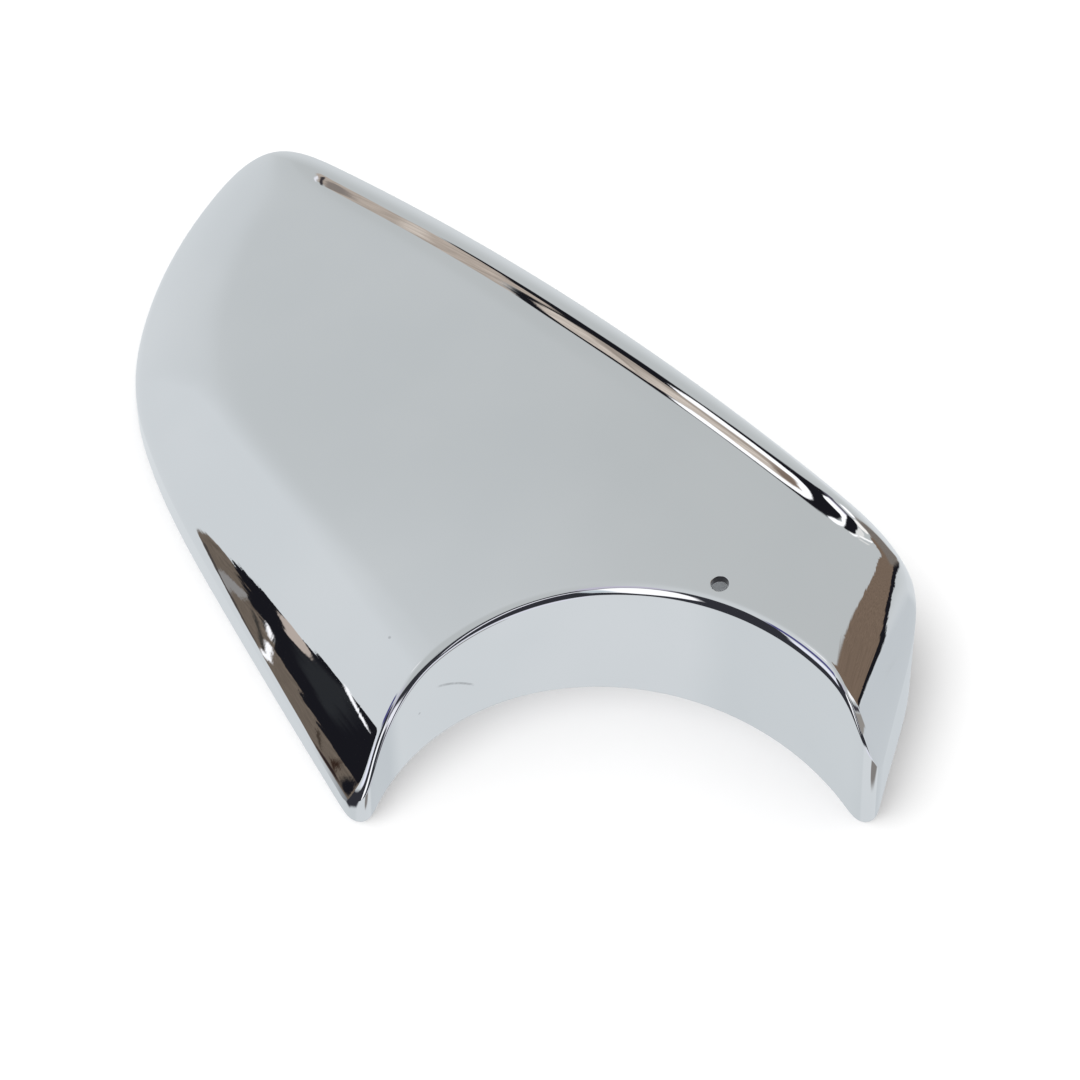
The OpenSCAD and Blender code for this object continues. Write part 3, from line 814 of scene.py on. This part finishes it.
     ((-71.5, -0.34), (-68, -0.37), (-64, -0.57), (-60, -0.77), (-57, -0.99)),
     ((-71.5, -0.46), (-68, -0.79), (-64, -0.99), (-60, -1.19), (-57, -1.11))),
    ("door_red", 30, (0.035, 0.018, 0.012), 0.1, 0,
     ((-69.5, -0.02), (-66, 0), (-63, -0.15), (-60, -0.35), (-57.3, -0.52)),
     ((-69.5, -0.08), (-66, -0.2), (-63, -0.35), (-60, -0.55), (-57.3, -0.58))),
    ("door_thread", 30, (0.06, 0.045, 0.035), 0.08, 0.1,
     ((-69, 0.54), (-65, 0.55), (-61, 0.44), (-57.5, 0.22)),
     ((-69, 0.5), (-65, 0.39), (-61, 0.28), (-57.5, 0.18))),
    ("dark", 30, BLACK, 0.07, 1.1,
     ((-57.4, -0.8), (-57, 0.2), (-56, 1.1), (-55, 1.75), (-53, 2.85), (-51.5, 3.6),
      (-50.4, 4.2), (-49.6, 4.05), (-48.7, 3.7), (-48.2, 3.45), (-47.9, 2.2), (-47.4, 2),
      (-46.7, 1.65), (-46.3, 1.2), (-46.1, 0.5)),
     ((-57.4, -1.3), (-55, -3.4), (-50, -4.2), (-48, -4), (-46.1, -3))),
    ("dark_glow", 30, (0.026, 0.028, 0.032), 0.4, 0.5,
     ((-54, 0.5), (-52, 1.6), (-50, 1.9), (-48, 1.4), (-47, 0.9)),
     ((-54, 0.2), (-52, 0.3), (-50, 0.3), (-48, 0.4), (-47, 0.6))),
    ("tan_chip", 30, (0.55, 0.47, 0.42), 0.08, 0.25,
     ((-50.3, 2.35), (-49.5, 2.6), (-48.6, 2.8), (-47.8, 2.6)),
     ((-50.3, 2.2), (-49.5, 1.85), (-48.8, 1.75), (-47.8, 2))),
    ("glint", 30, WHITE, 0.1, 0,
     ((-48.5, -0.01), (-47.8, 0.4), (-47.2, 0.7), (-46.6, 0.95), (-45.8, 1.04)),
     ((-48.5, -0.1), (-47.8, 0.1), (-47.2, 0.4), (-46.6, 0.65), (-45.8, 0.95))),
    ("door_glint", 30, WHITE, 0.08, 0,
     ((-54.4, 2.36), (-53.4, 2.59), (-52.6, 2.69)),
     ((-54.4, 2.3), (-53.4, 2.37), (-52.6, 2.63))),
)

frames = {None: (turn_deg, lean)}


def chart(angle):
    """The chart's two axes, turned by an angle."""
    if angle not in frames:
        c, s = math.cos(math.radians(angle)), math.sin(math.radians(angle))
        on_s = g.math("ADD", g.math("MULTIPLY", chart_u, c), g.math("MULTIPLY", chart_v, s))
        on_t = g.math("ADD", g.math("MULTIPLY", chart_u, -s), g.math("MULTIPLY", chart_v, c))
        frames[angle] = (on_s, on_t)
    return frames[angle]


def border(s, points):
    """t along one edge, as a smooth curve over s."""
    s0, s1 = points[0][0], points[-1][0]
    t0, t1 = min(t for _, t in points) - 0.01, max(t for _, t in points) + 0.01
    u = g.step(s, s0, s1, smooth=False)
    v = g.curve(u, [((a - s0) / (s1 - s0), (b - t0) / (t1 - t0)) for a, b in points])
    return g.math("MULTIPLY_ADD", v, t1 - t0, t0)


# the wooden and stone-coloured things outside have a grain of their own
GRAINY = ("wall", "wall_low", "wall_fade", "door", "door_dark",
          "tip_pane", "pane_1", "pane_1_light", "pane_2")
GRAIN_LOW, GRAIN_HIGH = 0.62, 1.38
speckle = g.noise(flat.outputs[0], 2.2, 3.0, 0.7)
drawn = g.node("ShaderNodeCombineXYZ")
g.put(drawn.inputs[0], g.math("MULTIPLY", chart(25)[0], 0.3))
g.put(drawn.inputs[1], g.math("MULTIPLY", chart(25)[1], 2.4))
threads = g.noise(drawn.outputs[0], 1.0, 3.0, 0.6)


def grained(name, colour):
    if name not in GRAINY:
        return colour
    low, high = [tuple(c * k for c in colour) for k in (GRAIN_LOW, GRAIN_HIGH)]
    grain = threads if "pane" in name else speckle
    return g.mixc(g.step(grain, 0.25, 0.75, smooth=False), low, high)


def patch(under, angle, colour, soft, rag, upper, lower):
    """One patch of colour laid over what is under it."""
    s, t = chart(angle)
    if rag:
        t = g.math("MULTIPLY_ADD", ragged, rag, t)
    above = g.step(g.math("SUBTRACT", t, border(s, lower)), -soft, soft)
    below = g.step(g.math("SUBTRACT", t, border(s, upper)), -soft, soft, 1.0, 0.0)
    s0, s1 = min(upper[0][0], lower[0][0]), max(upper[-1][0], lower[-1][0])
    after = g.step(s, s0 - soft, s0 + soft)
    before = g.step(s, s1 - soft, s1 + soft, 1.0, 0.0)
    inside = g.math("MULTIPLY", after, before)
    return g.mixc(g.math("MULTIPLY", g.math("MULTIPLY", above, below), inside), under, colour)


# a plain ceiling, and white paper all round it: the share of paper over -u from 0 to 60
PAPER_TO_LEFT = ((0, 0.07), (0.083, 0.1), (0.158, 0.28), (0.242, 0.38),
                 (0.4, 0.72), (0.55, 0.82), (0.8, 0.96), (1, 1))
to_left = g.step(chart_u, 0.0, -60.0, smooth=False)
light = g.curve(to_left, PAPER_TO_LEFT)
near = g.step(chart_v, 0.8, -4.2, 0.0, 0.36)
light = g.math("ADD", light, g.math("MULTIPLY", near, g.step(chart_u, -2.0, -14.0)))
light = g.math("MAXIMUM", light, g.step(lean, 46.0, 60.0))
light = g.math("MAXIMUM", light, g.step(chart_v, 25.0, 40.0, 0.0, 0.75))
room = g.mixc(light, CEILING, PAPER)
for name, angle, colour, soft, rag, upper, lower in PATCHES:
    room = patch(room, angle, grained(name, colour), soft, rag, upper, lower)

# the room shows in mirrors only: the rest of the scene has plain white round it
AROUND, BACKDROP = (0.80, 0.80, 0.80), (1.0, 1.0, 1.0)
path = g.node("ShaderNodeLightPath")
plain = g.node("ShaderNodeBackground")
backdrop = g.mixc(path.outputs["Is Camera Ray"], AROUND, BACKDROP)
g.put(plain.inputs["Color"], backdrop)
mirrored = g.node("ShaderNodeBackground")
g.put(mirrored.inputs["Color"], room)
either = g.node("ShaderNodeMixShader")
g.link(path.outputs["Is Glossy Ray"], either.inputs[0])
g.link(plain.outputs[0], either.inputs[1])
g.link(mirrored.outputs[0], either.inputs[2])
g.link(either.outputs[0], out.inputs[0])

scene = bpy.context.scene
scene.view_settings.view_transform = "Standard"
